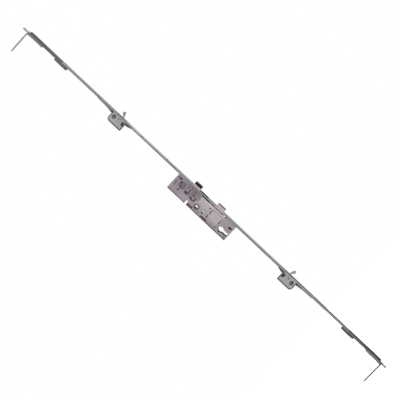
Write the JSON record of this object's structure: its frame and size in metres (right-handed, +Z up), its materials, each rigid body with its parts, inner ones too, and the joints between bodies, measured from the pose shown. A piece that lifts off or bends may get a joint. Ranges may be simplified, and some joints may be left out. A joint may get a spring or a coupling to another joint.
{
  "type": "multipoint door lock",
  "caption": "Long lever-operated door lock strip with a gearbox, sprung latch, deadbolt, swing hooks and shootbolts that leave by both ends.",
  "frame": {"origin": "on the front of the faceplate, on its centre line, at the height of the spindle axis", "axes": "+X out of the faceplate's front, +Z up along the strip, Y across the faceplate with the gearbox covers on -Y"},
  "size_m": [0.0961, 0.0165, 1.368],
  "materials": {
    "zinc_steel": "zinc plated, satin",
    "rail_steel": "zinc plated, satin, darker",
    "case_steel": "pressed zinc plated steel",
    "cover_steel": "pressed zinc plated steel, lighter",
    "dark_zinc": "dark die casting, matt",
    "bolt_steel": "sintered steel, nickel plated",
    "hook_steel": "ground steel, satin",
    "black_nylon": "moulded nylon",
    "spring_steel": "drawn wire"
  },
  "bodies": {
    "frame": {"faceplate_main": "zinc_steel", "faceplate_extension_upper": "zinc_steel", "faceplate_extension_lower": "zinc_steel", "corner_strap_upper": "zinc_steel", "corner_strap_lower": "zinc_steel", "hook_pivot_upper": "zinc_steel", "hook_pivot_lower": "zinc_steel", "case_screw_upper": "zinc_steel", "case_screw_lower": "zinc_steel", "cover_screw_1": "zinc_steel", "cover_screw_2": "zinc_steel", "cover_screw_3": "zinc_steel", "cover_screw_4": "zinc_steel", "cover_screw_5": "zinc_steel", "gearbox_case": "case_steel", "gearbox_window_plate": "case_steel", "hook_case_upper": "case_steel", "hook_case_lower": "case_steel", "gearbox_cover": "cover_steel", "hook_cover_upper": "cover_steel", "hook_cover_lower": "cover_steel", "coupling_housing_upper": "dark_zinc", "coupling_housing_lower": "dark_zinc", "shootbolt_guide_upper": "dark_zinc", "shootbolt_guide_lower": "dark_zinc", "slot_insert": "black_nylon"},
    "drive_upper": {"drive_slide_upper": "rail_steel", "drive_rail_inner_upper": "rail_steel", "hook_drive_upper": "rail_steel", "drive_rail_outer_upper": "rail_steel", "shootbolt_upper": "rail_steel"},
    "drive_lower": {"drive_slide_lower": "rail_steel", "drive_rail_inner_lower": "rail_steel", "hook_drive_lower": "rail_steel", "drive_rail_outer_lower": "rail_steel", "shootbolt_lower": "rail_steel"},
    "follower": {"follower": "bolt_steel"},
    "pinion": {"reversing_pinion": "bolt_steel"},
    "latch": {"latch_bolt": "bolt_steel", "latch_nose": "black_nylon", "latch_spring": "spring_steel"},
    "deadbolt": {"deadbolt": "bolt_steel"},
    "hook_upper": {"hook_upper": "hook_steel"},
    "hook_lower": {"hook_lower": "hook_steel"}
  },
  "joints": [
    {"name": "drive_upper_slide", "type": "slide", "parent": "frame", "child": "drive_upper", "axis": [0, 0, -1], "range_m": [0, 0.017]},
    {"name": "drive_lower_slide", "type": "slide", "parent": "frame", "child": "drive_lower", "axis": [0, 0, 1], "range_m": [0, 0.017]},
    {"name": "follower_turn", "type": "hinge", "parent": "frame", "child": "follower", "pos_m": [-0.04, 0, 0], "axis": [0, -1, 0], "range_deg": [0, 50]},
    {"name": "pinion_turn", "type": "hinge", "parent": "frame", "child": "pinion", "pos_m": [-0.02552, 0, 0.04084], "axis": [0, -1, 0], "range_deg": [0, 194.81]},
    {"name": "latch_slide", "type": "slide", "parent": "frame", "child": "latch", "axis": [-1, 0, 0], "range_m": [0, 0.0123], "stiffness_N_per_m": 120, "springref_m": -0.01, "deforming": ["latch_spring"]},
    {"name": "hook_upper_swing", "type": "hinge", "parent": "frame", "child": "hook_upper", "pos_m": [-0.0136, 0, 0.335], "axis": [0, 1, 0], "range_deg": [0, 50]},
    {"name": "hook_lower_swing", "type": "hinge", "parent": "frame", "child": "hook_lower", "pos_m": [-0.0136, 0, -0.335], "axis": [0, -1, 0], "range_deg": [0, 50]},
    {"name": "deadbolt_slide", "type": "slide", "parent": "frame", "child": "deadbolt", "axis": [-1, 0, 0], "range_m": [0, 0.0105]}
  ],
  "couplings": [
    {"joint": "drive_lower_slide", "follows": "drive_upper_slide", "ratio": 1},
    {"joint": "follower_turn", "follows": "drive_upper_slide", "rad_per_m": 51.333},
    {"joint": "pinion_turn", "follows": "drive_upper_slide", "rad_per_m": 200},
    {"joint": "latch_slide", "follows": "drive_upper_slide", "ratio": 0.72353},
    {"joint": "hook_upper_swing", "follows": "drive_upper_slide", "rad_per_m": 51.333},
    {"joint": "hook_lower_swing", "follows": "drive_upper_slide", "rad_per_m": 51.333}
  ]
}
